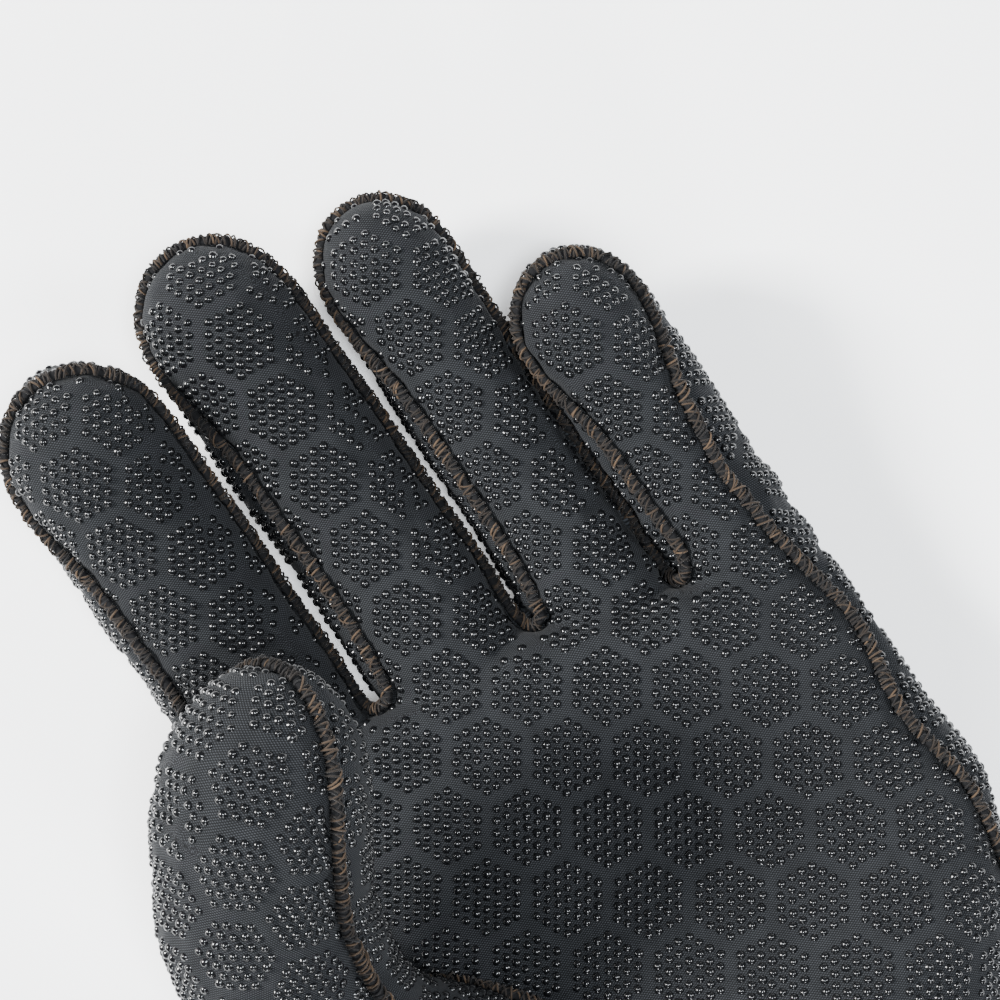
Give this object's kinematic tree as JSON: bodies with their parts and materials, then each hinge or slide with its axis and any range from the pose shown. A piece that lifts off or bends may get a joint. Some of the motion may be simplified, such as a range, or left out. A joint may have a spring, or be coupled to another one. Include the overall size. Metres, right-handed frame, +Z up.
{
  "type": "glove",
  "caption": "left-hand foam rubber glove, palm up, cut as a palm panel and a back panel sewn round the fingers, with a tubular thumb of two panels and an open cuff",
  "frame": {"origin": "on the floor under the middle of the glove's bounding box, the glove lying on its back with the palm up", "axes": "+Y from the cuff to the fingertips, +X from the thumb side to the little finger's side, +Z up out of the palm"},
  "size_m": [0.1268, 0.2548, 0.0805],
  "materials": {
    "palm_knit": "knitted nylon over foam rubber, printed with raised black dots",
    "back_knit": "knitted nylon over foam rubber, printed with raised black dots",
    "thumb_outer_knit": "knitted nylon over foam rubber, printed with raised black dots",
    "thumb_inner_knit": "knitted nylon over foam rubber, printed with raised black dots"
  },
  "bodies": {
    "root": {"palm_panel": "palm_knit", "back_panel": "back_knit", "thumb_outer_panel": "thumb_outer_knit", "thumb_inner_panel": "thumb_inner_knit"}
  },
  "joints": []
}
